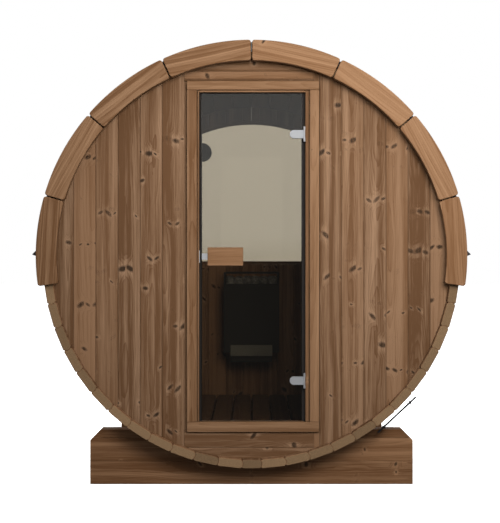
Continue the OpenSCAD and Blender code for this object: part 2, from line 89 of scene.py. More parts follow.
class Boards:
    """One piece made of many boards. Each vertex carries its place in its own board's grain.

    The skin is the number of the material on the faces added next. Sawn ends get material 1.
    """

    def __init__(self):
        self.points, self.grain, self.tone, self.faces, self.looks = [], [], [], [], []
        self.skin = 0

    def loft(self, place, rings, end_grain=True, pith=None, tone=None):
        """A solid through closed rings of (along, across, depth) points.

        The pith is where its growth rings are centred, as (across, depth) from its middle, and
        the tone is how pale it is, from 0 to 1. Both are drawn at random where none is given.
        """
        rings = [np.asarray(r, float) for r in rings]
        n = len(rings[0])
        local = np.concatenate(rings)
        start = sum(len(p) for p in self.points)
        width = np.ptp(local[:, 1])
        if pith is None:
            pith = rng.uniform(-0.6, 0.6) * width, rng.choice((-1, 1)) * rng.uniform(0.02, 0.11)
        middle = (local.min(0) + local.max(0)) / 2
        grain = local - middle
        grain[:, 0] += rng.uniform(5, 60)
        grain[:, 1:] -= pith
        self.points.append(place.world(local))
        self.grain.append(grain)
        self.tone.append(np.full(len(local), rng.random() if tone is None else tone))
        for i in range(len(rings) - 1):
            a, b = start + i * n, start + (i + 1) * n
            for j in range(n):
                k = (j + 1) % n
                self.faces.append((a + j, a + k, b + k, b + j))
                self.looks.append(self.skin)
        last = start + (len(rings) - 1) * n
        self.faces.append(tuple(range(start + n - 1, start - 1, -1)))
        self.faces.append(tuple(range(last, last + n)))
        self.looks += [1 if end_grain and self.skin == 0 else self.skin] * 2

    def piece(self, name, body, slot, materials, replaced=()):
        """Turns the boards into an object that stands for the CAD nodes named."""
        mesh = bpy.data.meshes.new(name)
        mesh.from_pydata(np.concatenate(self.points).tolist(), [], self.faces)
        layers = (("grain", "FLOAT_VECTOR", "vector", self.grain), ("tone", "FLOAT", "value", self.tone))
        for key, kind, field, parts in layers:
            layer = mesh.attributes.new(key, kind, "POINT")
            layer.data.foreach_set(field, np.concatenate(parts).ravel())
        for material in materials:
            mesh.materials.append(material)
        if len(materials) > 1:
            mesh.polygons.foreach_set("material_index", self.looks)
        bm = bmesh.new()
        bm.from_mesh(mesh)
        bmesh.ops.recalc_face_normals(bm, faces=bm.faces)
        bm.to_mesh(mesh)
        bm.free()
        return show(bpy.data.objects.new(name, mesh), body, replaced)


def show(obj, body, replaced=()):
    if obj.name not in bpy.context.scene.collection.objects:
        bpy.context.scene.collection.objects.link(obj)
    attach(obj, body)
    if replaced:
        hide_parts(*replaced)
    return obj


def shrink(loop, by):
    """A closed loop of 2-D points moved inwards by a distance. The loop turns either way."""
    p = np.asarray(loop, float)
    area = np.sum(p[:, 0] * np.roll(p[:, 1], -1) - np.roll(p[:, 0], -1) * p[:, 1])
    step = np.roll(p, -1, 0) - p
    length = np.maximum(np.linalg.norm(step, axis=1), 1e-9)
    normal = np.stack([-step[:, 1], step[:, 0]], 1) / length[:, None] * np.sign(area)
    before = np.roll(normal, 1, 0)
    both = normal + before
    both /= np.maximum(np.sum(normal * both, 1), 0.5)[:, None]
    return p + both * by


def rounded(u0, u1, w0, w1, r, cuts=1):
    """A rectangle's section with its corners cut by r, and its long faces cut into parts."""
    def side(a, b):
        return [a + (b - a) * i / cuts for i in range(cuts + 1)]
    lower = [(u, w0) for u in side(u0 + r, u1 - r)]
    upper = [(u, w1) for u in side(u1 - r, u0 + r)]
    return lower + [(u1, w0 + r), (u1, w1 - r)] + upper + [(u0, w1 - r), (u0, w0 + r)]


def board(boards, place, section, low, high, bevel=0.0015, **options):
    """A board with one section, from low(u) to high(u) along its grain."""
    inner = shrink(section, bevel)
    steps = ((inner, low, 0), (section, low, bevel), (section, high, -bevel), (inner, high, 0))
    boards.loft(place, [[(end(u) + move, u, w) for u, w in loop] for loop, end, move in steps], **options)


def plate(boards, place, outline, w0, w1, bevel=0.003, **options):
    """A flat board cut to an outline of (along, across) points, with its edges eased."""
    inner, half = shrink(outline, bevel), shrink(outline, bevel * 0.3)
    steps = (
        (inner, w0), (half, w0 + bevel * 0.3), (outline, w0 + bevel),
        (outline, w1 - bevel), (half, w1 - bevel * 0.3), (inner, w1),
    )
    boards.loft(place, [[(a, u, w) for a, u in loop] for loop, w in steps], end_grain=False, **options)


def plank(boards, lo, hi, along, bevel=0.0025):
    """A straight plank filling a box, with its grain along one axis (0, 1 or 2)."""
    lo, hi = np.array(lo, float), np.array(hi, float)
    size = (hi - lo) / 2
    rest = sorted((i for i in range(3) if i != along), key=lambda i: -size[i])
    axes = np.eye(3)
    place = Place((lo + hi) / 2, axes[along], axes[rest[0]])
    section = rounded(-size[rest[0]], size[rest[0]], -size[rest[1]], size[rest[1]], bevel)
    board(boards, place, section, lambda u: -size[along], lambda u: size[along], bevel)


# ---- Shader helper ----------------------------------------------------------------------------

class Field:
    """A number worked out at each point of a surface, with arithmetic that adds Math nodes."""

    def __init__(self, tree, socket):
        self.tree, self.socket = tree, socket

    def math(self, operation, *others, clamp=False):
        node = self.tree.nodes.new("ShaderNodeMath")
        node.operation = operation
        node.use_clamp = clamp
        for slot, item in zip(node.inputs, (self,) + others):
            if isinstance(item, Field):
                self.tree.links.new(item.socket, slot)
            else:
                slot.default_value = item
        return Field(self.tree, node.outputs[0])

    def __add__(self, other):
        return self.math("ADD", other)

    def __sub__(self, other):
        return self.math("SUBTRACT", other)

    def __mul__(self, other):
        return self.math("MULTIPLY", other)

    def __truediv__(self, other):
        return self.math("DIVIDE", other)

    def floor(self):
        return self.math("FLOOR")

    def fract(self):
        return self.math("FRACT")

    def power(self, exponent):
        return self.math("POWER", exponent)

    def fade(self, low, high):
        """0 below low, 1 above high, smooth between. Either may be a field, and high < low turns it."""
        node = self.tree.nodes.new("ShaderNodeMapRange")
        node.interpolation_type = "SMOOTHSTEP"
        for key, item in (("Value", self), ("From Min", low), ("From Max", high)):
            if isinstance(item, Field):
                self.tree.links.new(item.socket, node.inputs[key])
            else:
                node.inputs[key].default_value = item
        return Field(self.tree, node.outputs["Result"])


class Shader:
    """A Principled material with the helpers that its fields need."""

    def __init__(self, name, roughness=0.5, metallic=0.0, colour=(0.5, 0.5, 0.5)):
        self.material = bpy.data.materials.new(name)
        self.material.use_nodes = True
        self.tree = self.material.node_tree
        self.bsdf = self.tree.nodes["Principled BSDF"]
        self.bsdf.inputs["Base Color"].default_value = (*colour, 1)
        self.bsdf.inputs["Roughness"].default_value = roughness
        self.bsdf.inputs["Metallic"].default_value = metallic
        self.material.diffuse_color = (*colour, 1)

    def node(self, kind, **settings):
        made = self.tree.nodes.new(kind)
        for key, value in settings.items():
            setattr(made, key, value)
        return made

    def attribute(self, name):
        return self.node("ShaderNodeAttribute", attribute_name=name)

    def split(self, socket):
        node = self.node("ShaderNodeSeparateXYZ")
        self.tree.links.new(socket, node.inputs[0])
        return [Field(self.tree, out) for out in node.outputs]

    def vector(self, *fields):
        node = self.node("ShaderNodeCombineXYZ")
        for slot, item in zip(node.inputs, fields):
            if isinstance(item, Field):
                self.tree.links.new(item.socket, slot)
            else:
                slot.default_value = item
        return node.outputs[0]

    def noise(self, vector, detail=2.0, roughness=0.5):
        node = self.node("ShaderNodeTexNoise")
        node.inputs["Scale"].default_value = 1
        node.inputs["Detail"].default_value = detail
        node.inputs["Roughness"].default_value = roughness
        self.tree.links.new(vector, node.inputs["Vector"])
        return Field(self.tree, node.outputs["Fac"])

    def random(self, vector):
        node = self.node("ShaderNodeTexWhiteNoise", noise_dimensions="3D")
        self.tree.links.new(vector, node.inputs["Vector"])
        return [Field(self.tree, node.outputs["Value"])] + self.split(node.outputs["Color"])

    def mix(self, factor, first, second):
        """A colour between two, each a colour or a socket."""
        node = self.node("ShaderNodeMix", data_type="RGBA")
        self.tree.links.new(factor.socket, node.inputs["Factor"])
        for key, item in ((6, first), (7, second)):
            if isinstance(item, tuple):
                node.inputs[key].default_value = (*item, 1)
            else:
                self.tree.links.new(item, node.inputs[key])
        return node.outputs[2]

    def colour(self, socket):
        self.tree.links.new(socket, self.bsdf.inputs["Base Color"])

    def rough(self, field):
        self.tree.links.new(field.socket, self.bsdf.inputs["Roughness"])

    def bump(self, field, distance, strength=1.0):
        node = self.node("ShaderNodeBump")
        node.inputs["Strength"].default_value = strength
        node.inputs["Distance"].default_value = distance
        self.tree.links.new(field.socket, node.inputs["Height"])
        self.tree.links.new(node.outputs["Normal"], self.bsdf.inputs["Normal"])


def scaled(colour, by):
    return tuple(c * by for c in colour)


def wood(name, colour, knots=0.3, ring=0.0035, contrast=1.0, roughness=0.6, whorl=0.26, big=0.008):
    """Planed pine: growth rings round each board's own pith, streaks, and rows of small knots."""
    s = Shader(name, roughness, colour=colour)
    s.bsdf.inputs["Specular IOR Level"].default_value = 0.10
    a, u, w = s.split(s.attribute("grain").outputs["Vector"])
    tone = Field(s.tree, s.attribute("tone").outputs["Fac"])

    # Knots sit in rows across the board, as the branches of one year do
    row = (a / whorl).floor()
    row_rand, r1, r2, _ = s.random(s.vector(row, tone * 91.0, 3.0))
    lane_w = 0.036
    lane = (u / lane_w + r1 * 5.0).floor()
    knot_rand, k1, k2, k3 = s.random(s.vector(row, lane, tone * 57.0))
    centre_a = (row + r2 * 0.7 + 0.15 + (k2 - 0.5) * 0.09) * whorl
    centre_u = (lane + 0.35 + k1 * 0.3 - r1 * 5.0) * lane_w
    da = a - centre_a
    du = u - centre_u
    # Some branches lie in the board's face, so their knots are long and lean to one side
    lean = (k3 - 0.5) * 1.6
    da = da - du * lean
    wobble = (s.noise(s.vector(a * 260.0, u * 260.0, w * 260.0), 1.0) - 0.5) * 0.004
    far = (da * da + du * du * 0.45).math("SQRT") + wobble
    size = (knot_rand.power(1.6) * 0.75 + 0.25) * big
    there = (k2 + row_rand * 0.6).math("MULTIPLY", 0.625).math("LESS_THAN", knots)
    knot = far.fade(size, size * 0.55) * there
    rim = (far - size * 0.95).math("ABSOLUTE").fade(0.0016, 0.0) * there
    halo = far.fade(size * 3.6, size) * there
    swirl = far.fade(size * 5.0, size * 0.8) * there

    # Growth rings, drifting slowly along the board and bending round the knots
    drift = (s.noise(s.vector(a * 0.9, u * 4.0, w * 4.0), 1.0) - 0.5) * 0.05
    ripple = (s.noise(s.vector(a * 7.0, u * 30.0, w * 30.0), 2.0) - 0.5) * 0.004
    radius = (u * u + w * w).math("SQRT") + drift + ripple + swirl * 0.006
    late = (radius / (tone * 0.4 + 0.8) / ring).fract().power(2.4)
    band = s.noise(s.vector(radius * 70.0, tone * 40.0, 1.0), 2.0, 0.6)
    fine = s.noise(s.vector(a * 9.0, u * 420.0, w * 420.0), 2.0, 0.6)
    broad = s.noise(s.vector(a * 0.8, u * 34.0, w * 34.0), 3.0, 0.6)
    streak = s.noise(s.vector(a * 2.6, u * 130.0, w * 60.0), 1.0).fade(0.70, 0.78)

    level = (late * -0.35 + (band - 0.5) * 1.5 + (fine - 0.5) * 0.9 + (broad - 0.5) * 2.0) * contrast
    level = level + 0.58 + (tone - 0.5) * 0.8
    level = level + halo * 0.45 - streak * 0.45 * contrast
    low = tuple(c * t for c, t in zip(colour, (0.56, 0.47, 0.38)))
    high = tuple(c * t for c, t in zip(colour, (1.44, 1.50, 1.58)))
    pale = s.mix(level.math("MULTIPLY", 1.0, clamp=True), low, high)
    red = (1.0, 0.86, 0.72)
    warm = s.mix(tone.fade(0.0, 1.0) * 0.6, pale, tuple(c * t for c, t in zip(scaled(colour, 1.05), red)))
    dark = scaled(colour, 0.10)
    shade = (knot * 0.92 + rim * 0.6).math("MULTIPLY", 1.0, clamp=True)
    s.colour(s.mix(shade, warm, dark))
    s.rough(late * 0.1 + (roughness - 0.05) - knot * 0.15)
    s.bump(fine * 0.4 + late * -0.5 + knot * 0.8, 0.0004)
    return s.material


def end_grain(name, colour):
    """The sawn end of a board: pale, with its rings as arcs and small cracks."""
    s = Shader(name, 0.75, colour=colour)
    s.bsdf.inputs["Specular IOR Level"].default_value = 0.1
    a, u, w = s.split(s.attribute("grain").outputs["Vector"])
    tone = Field(s.tree, s.attribute("tone").outputs["Fac"])
    radius = (u * u + w * w).math("SQRT") + (s.noise(s.vector(u * 40.0, w * 40.0, tone * 9.0)) - 0.5) * 0.003
    late = (radius / 0.0042).fract().power(2.0)
    speck = s.noise(s.vector(u * 420.0, w * 420.0, tone * 31.0), 3.0, 0.7)
    level = late * -0.5 + (speck - 0.5) * 1.7 + 0.68 + (tone - 0.5) * 0.40
    s.colour(s.mix(level.math("MULTIPLY", 1.0, clamp=True), scaled(colour, 0.45), scaled(colour, 1.35)))
    s.bump(speck, 0.0005)
    return s.material


# ---- Materials --------------------------------------------------------------------------------

WALL = (0.122, 0.071, 0.040)
TRIM = (0.138, 0.078, 0.0415)
STAVE = (0.120, 0.065, 0.034)
CRADLE = (0.133, 0.071, 0.0355)

wall_wood = wood("wall_wood", WALL, knots=0.45, contrast=1.3, big=0.016)
trim_wood = wood("trim_wood", TRIM, knots=0.12, ring=0.009, contrast=1.1, roughness=0.5)
stave_wood = wood("stave_wood", STAVE, knots=0.22)
frame_wood = wood("frame_wood", scaled(TRIM, 0.94), knots=0.25, contrast=0.8, big=0.008, roughness=0.5)
handle_wood = wood("handle_wood", scaled(TRIM, 0.92), knots=0.06, roughness=0.45)
cradle_wood = wood("cradle_wood", CRADLE, knots=0.30, contrast=1.1, big=0.011)
floor_wood = wood("floor_wood", scaled(WALL, 0.75), knots=0.22)
stave_ends = end_grain("stave_ends", (0.135, 0.084, 0.045))
wall_ends = end_grain("wall_ends", scaled(WALL, 1.1))
trim_ends = end_grain("trim_ends", scaled(TRIM, 0.8))


def metal(name, colour, roughness, grain=0.0):
    s = Shader(name, roughness, 1.0, colour)
    if grain:
        x, y, z = s.split(s.node("ShaderNodeTexCoord").outputs["Object"])
        brushed = s.noise(s.vector(x * 60.0, y * 60.0, z * 2500.0), 2.0)
        s.rough((brushed - 0.5) * grain + roughness)
    return s.material


def speckled(name, colour, roughness, scale, spread, bump):
    """A hard grainy surface, such as stone, felt grit or powder coat."""
    s = Shader(name, roughness, colour=colour)
    x, y, z = s.split(s.node("ShaderNodeTexCoord").outputs["Object"])
    grit = s.noise(s.vector(x * scale, y * scale, z * scale), 3.0, 0.7)
    factor = grit.fade(0.3, 0.7)
    s.colour(s.mix(factor, scaled(colour, 1 - spread), scaled(colour, 1 + spread)))
    s.bump(grit, bump)
    return s.material


steel = metal("stainless_steel", (0.80, 0.81, 0.83), 0.35, 0.15)
band_steel = metal("band_steel", (0.42, 0.42, 0.43), 0.42)
rod_steel = metal("rod_steel", (0.05, 0.05, 0.055), 0.45)
black_plastic = speckled("black_plastic", (0.030, 0.030, 0.030), 0.45, 900.0, 0.2, 0.0001)
black_steel = speckled("black_steel", (0.014, 0.013, 0.012), 0.6, 700.0, 0.25, 0.0002)
grey_steel = speckled("grey_steel", (0.10, 0.097, 0.085), 0.5, 700.0, 0.1, 0.0001)
stone = speckled("heater_stone", (0.098, 0.095, 0.090), 0.8, 90.0, 0.5, 0.002)
# A dark finish for the door stops: a seal, and painted shade of the recess round the glass.
seal_and_painted_shade = speckled("door_seal_painted_shade", (0.014, 0.012, 0.011), 0.7, 700.0, 0.2, 0.0001)
felt = speckled("roof_felt", (0.024, 0.024, 0.026), 0.9, 900.0, 0.6, 0.0006)


def glass(name, tint, reflect):
    """Tinted flat glass: each face lets a tint through straight on and mirrors a little."""
    s = Shader(name, 0.02)
    s.tree.nodes.remove(s.bsdf)
    clear = s.node("ShaderNodeBsdfTransparent")
    clear.inputs["Color"].default_value = (*tint, 1)
    mirror = s.node("ShaderNodeBsdfGlossy")
    mirror.inputs["Roughness"].default_value = 0.02
    fresnel = s.node("ShaderNodeFresnel")
    fresnel.inputs["IOR"].default_value = reflect
    both = s.node("ShaderNodeMixShader")
    s.tree.links.new(fresnel.outputs[0], both.inputs[0])
    s.tree.links.new(clear.outputs[0], both.inputs[1])
    s.tree.links.new(mirror.outputs[0], both.inputs[2])
    s.tree.links.new(both.outputs[0], s.tree.nodes["Material Output"].inputs["Surface"])
    return s.material


tinted_glass = glass("tinted_glass", (0.780, 0.755, 0.700), 1.5)


# ---- Staves -----------------------------------------------------------------------------------

closing_half = math.atan(CLOSING_W / 2 / BARREL_R)
stave_half = (math.pi - closing_half) / (2 * SIDE_STAVES)
BEAD = 0.005


def stave_angle(k):
    """Angle of stave k's middle, from straight down towards +X."""
    return 0.0 if k == 0 else math.copysign(closing_half + (2 * abs(k) - 1) * stave_half, k)


def stave(boards, k):
    half = closing_half if k == 0 else stave_half
    turn = stave_angle(k)
    place = Place((0, 0, AXIS), Y, (math.cos(turn), 0, math.sin(turn)))
    v = NOTCH / 2

    def side(r):
        return r * math.tan(half) - PLAY / 2

    # One edge is a bead and the other the cove that takes its neighbour's bead
    steps = 7
    levels = [BARREL_R - v - (STAVE_T - NOTCH) * i / steps for i in range(steps + 1)]
    bulge = [BEAD * math.sin(math.pi * i / steps) for i in range(steps + 1)]
    right = [(side(r) + b, r) for r, b in zip(levels, bulge)]
    left = [(-side(r) + b, r) for r, b in zip(levels, bulge)]
    inner_u = side(INNER_R) - v
    inner = [(inner_u * (1 - i / 2), INNER_R) for i in range(5)]
    outer_u = side(BARREL_R) - v
    section = [(-outer_u, BARREL_R), (outer_u, BARREL_R)] + right + inner + left[::-1]

    def grooved(loop):
        """The loop with every point inside the groove's radius moved out to it."""
        return [(u, max(w, math.sqrt(CROZE_R ** 2 - u * u))) for u, w in loop]

    ease = 0.0015
    groove_out, groove_in = -WALL_FRONT + PLAY, -WALL_BACK - PLAY
    cut = grooved(section)
    half_way = [
        (STAVE_END, shrink(section, ease)), (STAVE_END - ease, section), (groove_out, section),
        (groove_out, cut), (groove_in, cut), (groove_in, section),
    ]
    stations = [(-y, loop) for y, loop in half_way] + half_way[::-1]
    boards.loft(place, [[(y, u, w) for u, w in loop] for y, loop in stations])


STAVE_NODES = {
    "staves_bottom": range(-3, 4),
    "staves_lower_left": range(-9, -3), "staves_lower_right": range(4, 10),
    "staves_side_left": range(-16, -9), "staves_side_right": range(10, 17),
    "staves_upper_left": range(-22, -16), "staves_upper_right": range(17, 23),
    "staves_top": [*range(-SIDE_STAVES, -22), *range(23, SIDE_STAVES + 1)],
}
for name, numbers in STAVE_NODES.items():
    made = Boards()
    for k in numbers:
        stave(made, k)
    made.piece(name + "_boards", "sauna", "stave_wood", [stave_wood, stave_ends], [name])


# ---- Curved trims -----------------------------------------------------------------------------

TRIM_R = INNER_R - 0.029
TRIM_W = 0.098
TRIM_LIFT = 0.020
TRIM_TURN = math.radians(24.6)
TRIM_GAP = 0.006
TRIM_CORNER = 0.012
TRIM_T = STAVE_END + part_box("front_trim_left")[0].y


def at(r, angle):
    """(along, across) of a point at radius r, turned from the trim's middle."""
    return np.array([r * math.sin(angle), r * math.cos(angle)])


def trim_outline():
    outer = TRIM_R + TRIM_W
    c = TRIM_CORNER
    half = TRIM_TURN / 2

    def corner_turn(r):
        return half - math.asin((TRIM_GAP / 2 + c) / r)

    outer_turn, inner_turn = corner_turn(outer - c), corner_turn(TRIM_R + c)
    points = [at(outer, outer_turn * (i / 10 - 1)) for i in range(21)]
    quarter = [math.pi / 2 * i / 4 for i in range(5)]
    points += [at(outer - c, outer_turn) + at(c, half + q - (half - outer_turn)) for q in quarter]
    points += [at(TRIM_R + c, inner_turn) + at(c, half + math.pi / 2 + q) for q in quarter]
    points += [at(TRIM_R, inner_turn * (1 - i / 10)) for i in range(21)]
    points += [at(TRIM_R + c, -inner_turn) + at(c, -half - math.pi + q) for q in quarter]
    points += [at(outer - c, -outer_turn) + at(c, -half - math.pi / 2 + q) for q in quarter]
    kept = [p for i, p in enumerate(points) if np.linalg.norm(p - points[i - 1]) > 0.0008]
    return kept


def trims(first, last, tone_and_shade_limits, rear=False):
    """Curved boards number first to last, each with a tone drawn between two limits (0 dark, 1 pale). The
    limits carry the boards' random tone and, on the front rings, painted shade and painted light.
    """
    made = Boards()
    for i in range(first, last):
        mid = (i + 0.5) * TRIM_TURN
        across = np.array([math.sin(mid), 0, math.cos(mid)])
        along = np.array([math.cos(mid), 0, -math.sin(mid)])
        place = Place((0, 0, AXIS + TRIM_LIFT), along, across)
        near, far = STAVE_END, STAVE_END - TRIM_T
        span = (-far, -near) if rear else (near, far)
        pith = (rng.uniform(0.80, 0.95) - TRIM_R, rng.choice((-1, 1)) * rng.uniform(0.0, 0.03))
        plate(made, place, trim_outline(), *span, bevel=0.004, pith=pith, tone=rng.uniform(*tone_and_shade_limits))
    return made


# The front left trims are drawn dark and the front right trims pale: painted shade on the left and painted
# light on the right, over each board's random tone. The rear trims take the whole range at random.
TRIM_RINGS = {
    "front_trim_left": trims(-4, 0, (0.1, 0.4)),
    "front_trim_right": trims(0, 4, (0.6, 0.9)),
    "rear_trim": trims(-4, 4, (0.1, 0.9), rear=True),
}
for name, made in TRIM_RINGS.items():
    made.piece(name + "_boards", "sauna", "trim_wood", [trim_wood], [name])


# ---- End walls --------------------------------------------------------------------------------

WALL_PITCH = 0.1066
WALL_V = 0.004
WALL_EDGE = WALL_R - 0.0005       # how far out the boards' own edges reach
FACE_CUTS = 6                     # parts of a board's face, so that its end can follow a curve
END_EASE = 0.001


def on_circle(r, u):
    return math.sqrt(max(r * r - u * u, 0.0))


def wall_low(x):
    return -on_circle(WALL_R, x)


def wall_high(x):
    return on_circle(WALL_R, x)


def wall_piece(made, node):
    made.piece(node + "_boards", "sauna", "wall_wood", [wall_wood, wall_ends], [node])


def upright(boards, x0, x1, low, high, y0=WALL_FRONT, y1=WALL_BACK, v=WALL_V):
    """An upright wall board between x0 and x1, from low(x) to high(x) above the axis."""
    place = Place((0, 0, AXIS), Z, X)
    section = rounded(x0, x1, y0, y1, v, cuts=FACE_CUTS)
    board(boards, place, section, low, high, bevel=END_EASE)


def level_board(boards, z0, z1, x0, x1, y0=WALL_FRONT, y1=WALL_BACK, v=WALL_V):
    """A level wall board between z0 and z1 above the axis, cut to the wall's circle."""
    place = Place((0, 0, AXIS), X, Z)
    section = rounded(z0, z1, -y1, -y0, v, cuts=FACE_CUTS)
    board(
        boards, place, section, lambda z: max(x0, -on_circle(WALL_R, z)),
        lambda z: min(x1, on_circle(WALL_R, z)), bevel=END_EASE,
    )


def board_edges(start, stop, pitch):
    """Edges of boards laid from start to stop, the last one cut to fit."""
    step = math.copysign(pitch, stop - start)
    count = math.ceil(abs(stop - start) / pitch - 1e-6)
    return [start + step * i for i in range(count)] + [stop]


def wall_side(edge, limit):
    made = Boards()
    edges = sorted(board_edges(edge, limit, WALL_PITCH))
    for x0, x1 in zip(edges, edges[1:]):
        upright(made, x0, x1, wall_low, wall_high)
    return made


left_wall = wall_side(BAY_LEFT, -WALL_EDGE)
tongue_lo, tongue_hi = WALL_FRONT + 0.014, WALL_FRONT + 0.028
upright(
    left_wall, BAY_LEFT - 0.001, wall_hi.x, lambda x: BAY_BOTTOM + PLAY, lambda x: BAY_TOP - PLAY,
    tongue_lo, tongue_hi, 0.001,
)
wall_piece(left_wall, "front_wall_left")
wall_piece(wall_side(BAY_RIGHT, WALL_EDGE), "front_wall_right")

STRIP_X = BAY_RIGHT - 0.027


def bay_boards(z_levels, end_levels):
    """Level boards over or under the door, with an upright strip at their right end."""
    made = Boards()
    for z0, z1 in zip(z_levels, z_levels[1:]):
        level_board(made, z0, z1, BAY_LEFT + PLAY, STRIP_X)
    low, high = end_levels
    upright(made, STRIP_X, BAY_RIGHT - PLAY, low, high, v=0.002)
    return made


header_levels = [BAY_TOP, BAY_TOP + 0.010, BAY_TOP + 0.048, WALL_EDGE]
wall_piece(bay_boards(header_levels, (lambda x: BAY_TOP, wall_high)), "front_wall_header")
sill_levels = [-WALL_EDGE, BAY_BOTTOM - 0.076, BAY_BOTTOM]
wall_piece(bay_boards(sill_levels, (wall_low, lambda x: BAY_BOTTOM)), "front_wall_sill")

# The back wall's boards run the same way, and the half-moon window is cut through them
WINDOW_R = 0.868
SILL_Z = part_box("rear_wall_lower")[1].z - AXIS
REAR_Y = (-WALL_BACK, -WALL_FRONT)
REBATE_Y = (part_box("rear_window")[0].y - PLAY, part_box("rear_window")[1].y + PLAY)
REBATE = 0.0143
REAR_V, REBATE_V = 0.0025, 0.0005 # corner cuts of whole boards, and of what is cut back for the glass
MIDDLE = 0.0002                   # how far the arch's two halves stay from the middle


def rear_edges():
    half_boards = board_edges(WALL_PITCH / 2, WALL_EDGE, WALL_PITCH)
    return [-x for x in reversed(half_boards)] + half_boards


def window_edge(x, r):
    return max(on_circle(r, x), SILL_Z + PLAY) if abs(x) < r else SILL_Z + PLAY


def arch_low(x):
    return window_edge(x, WINDOW_R)


def arch_low_behind(x):
    return window_edge(x, WINDOW_R + REBATE)


def arch_high(x):
    return max(wall_high(x), SILL_Z + 0.001)


def window_sill(x):
    return SILL_Z


def window_sill_behind(x):
    return SILL_Z - REBATE if abs(x) < WINDOW_R + REBATE else SILL_Z


def rear_layers(boards, x0, x1, low, high, low_behind, high_behind):
    """An upright board in three layers, the middle one cut back for the glass."""
    layers = (
        (REAR_Y[0], REBATE_Y[0], low, high),
        (REBATE_Y[0], REBATE_Y[1], low_behind, high_behind),
        (REBATE_Y[1], REAR_Y[1], low, high),
    )
    for y0, y1, low_end, high_end in layers:
        upright(boards, x0, x1, low_end, high_end, y0, y1, REAR_V if low_end is low else REBATE_V)


lower = Boards()
for x0, x1 in zip(rear_edges(), rear_edges()[1:]):
    rear_layers(lower, x0, x1, wall_low, window_sill, wall_low, window_sill_behind)
wall_piece(lower, "rear_wall_lower")

for name, sign in (("rear_wall_arch_left", -1), ("rear_wall_arch_right", 1)):
    made = Boards()
    edges = sorted([x for x in rear_edges() if x * sign > 0] + [MIDDLE * sign])
    for x0, x1 in zip(edges, edges[1:]):
        rear_layers(made, x0, x1, arch_low, arch_high, arch_low_behind, arch_high)
    wall_piece(made, name)


# ---- Cradles ----------------------------------------------------------------------------------

CRADLE_PLANK = 0.114
CRADLE_CUT = 0.053
CRADLE_STEPS = 240
CRADLE_LEAST = 0.006              # a plank is drawn only where more than this height is left
SEAT_R = math.hypot(BARREL_R, BARREL_R * math.tan(stave_half) - NOTCH / 2) + PLAY


def cradle(node):
    lo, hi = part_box(node)
    made = Boards()

    def top(x):
        seat = AXIS - on_circle(SEAT_R, x) if abs(x) < SEAT_R else hi.z
        return min(hi.z, hi.z - CRADLE_CUT + (hi.x - abs(x)), seat)

    place = Place((0, 0, 0), X, Z)
    levels = board_edges(lo.z, hi.z, CRADLE_PLANK)
    xs = [lo.x + (hi.x - lo.x) * i / CRADLE_STEPS for i in range(CRADLE_STEPS + 1)]
    for z0, z1 in zip(levels, levels[1:]):
        runs, run = [], []
        for x in xs:
            if min(top(x), z1) > z0 + CRADLE_LEAST:
                run.append(x)
            elif run:
                runs.append(run)
                run = []
        for run in (found for found in runs + [run] if found):
            upper = [(x, min(top(x), z1)) for x in run]
            outline = [(run[0], z0), (run[-1], z0)] + upper[::-1]
            plate(made, place, outline, -hi.y, -lo.y, bevel=0.003)
    return made


for node in ("cradle_front", "cradle_rear"):
    cradle(node).piece(node + "_planks", "sauna", "cradle_wood", [cradle_wood], [node])


# ---- Door frame -------------------------------------------------------------------------------

def islands(node):
    """Boxes of the separate solids in a CAD node, as (lowest, highest) corners."""
    mesh = nodes[node].data
    parent = {}

    def root(i):
        while parent.setdefault(i, i) != i:
            i = parent[i]
        return i

    keys = [tuple(round(c, 5) for c in v.co) for v in mesh.vertices]
    for face in mesh.polygons:
        first = root(keys[face.vertices[0]])
        for i in face.vertices[1:]:
            parent[root(keys[i])] = first
            first = root(first)
    groups = {}
    for key in keys:
        groups.setdefault(root(key), []).append(key)
    return [(np.min(g, 0), np.max(g, 0)) for g in groups.values()]


def longest(lo, hi):
    return int(np.argmax(hi - lo))


def frame_planks(node, boxes, stops=()):
    """A part of the door frame, its planks given as (lowest corner, highest corner, grain axis)."""
    made = Boards()
    for lo, hi, along in boxes:
        plank(made, lo, hi, along, 0.002)
    # The stops behind the glass take the dark finish all over: a seal, and painted shade of the recess that
    # the glass sits in.
    made.skin = 2
    for lo, hi, along in stops:
        plank(made, lo, hi, along, 0.001)
    made.piece(node + "_planks", "sauna", "frame_wood", [frame_wood, trim_ends, seal_and_painted_shade], [node])


FACE_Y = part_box("door_casing")[0].y
JAMB_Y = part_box("door_casing")[1].y + PLAY
STOP_Y = FACE_Y + 0.032
LINING_T = 0.016
DOOR_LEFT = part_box("strike_plate")[0].x
DOOR_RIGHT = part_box("hinge_plates")[1].x
DOOR_TOP = AXIS + 0.802
DOOR_BOTTOM = AXIS - 0.777
STOP_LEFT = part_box("door_jamb_left")[1].x
STOP_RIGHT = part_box("door_jamb_right")[0].x


def side_jamb(node, opening_x, stop_x, outer_x, lining_t):
    """A jamb behind the casing, the lining beside the opening and the stop behind the glass."""
    lo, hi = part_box(node)
    lining_x = opening_x + math.copysign(lining_t, outer_x - opening_x)

    def upright_box(xs, y, z0, z1):
        return (min(xs), y, z0), (max(xs), WALL_BACK, z1), 2

    frame_planks(node, [
        upright_box((lining_x, outer_x), JAMB_Y, lo.z, hi.z),
        upright_box((opening_x, lining_x), FACE_Y, DOOR_BOTTOM + PLAY, hi.z),
    ], [upright_box((opening_x, stop_x), STOP_Y, DOOR_BOTTOM + PLAY, DOOR_TOP - PLAY)])


side_jamb("door_jamb_left", DOOR_LEFT, STOP_LEFT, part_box("door_jamb_left")[0].x, LINING_T / 2)
side_jamb("door_jamb_right", DOOR_RIGHT, STOP_RIGHT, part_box("door_jamb_right")[1].x, LINING_T)

